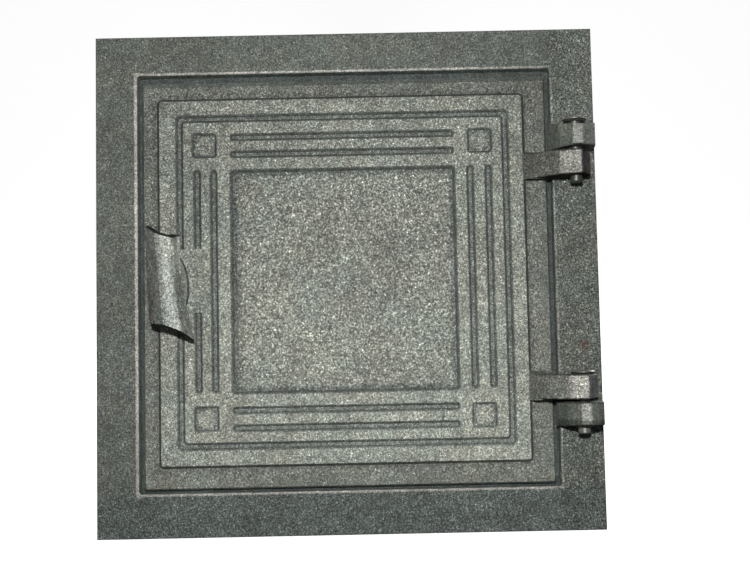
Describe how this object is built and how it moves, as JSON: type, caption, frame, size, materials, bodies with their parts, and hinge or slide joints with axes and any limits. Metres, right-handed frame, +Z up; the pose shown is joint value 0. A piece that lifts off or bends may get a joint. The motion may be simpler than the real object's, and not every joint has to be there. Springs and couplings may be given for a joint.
{
  "type": "ash pit door",
  "caption": "Square cast-iron stove ash door: flanged frame with rear collar, side-hung panelled door on loose pins, turning latch handle.",
  "frame": {"origin": "centre of the flange on its back face, the plane that lies against the wall", "axes": "+Y into the wall through the collar, +Z up, front faces -Y, hinge on the +X side"},
  "size_m": [0.25, 0.0758, 0.25],
  "materials": {
    "frame_iron": "sand-cast, unpainted, dull grey",
    "door_iron": "sand-cast, unpainted, with a fine bright grain",
    "handle_iron": "cast and tumbled, lighter and shinier than the door",
    "pin_steel": "dark mild steel, slightly rusted",
    "pawl_iron": "sand-cast",
    "fastener_steel": "dull zinc"
  },
  "bodies": {
    "frame_body": {"frame": "frame_iron", "hinge_pin_upper": "pin_steel"},
    "door_body": {"door": "door_iron", "hinge_pin_lower": "pin_steel"},
    "latch_body": {"latch_handle": "handle_iron", "pivot_washer": "fastener_steel", "latch_pawl": "pawl_iron", "nut_washer": "fastener_steel", "latch_nut": "fastener_steel"}
  },
  "joints": [
    {"name": "door_swing", "type": "hinge", "parent": "frame_body", "child": "door_body", "pos_m": [0.1134, -0.016, 0], "axis": [0, 0, 1], "range_deg": [0, 160]},
    {"name": "latch_turn", "type": "hinge", "parent": "door_body", "child": "latch_body", "pos_m": [-0.087, 0, -0.0008], "axis": [0, 1, 0], "range_deg": [0, 96]}
  ]
}
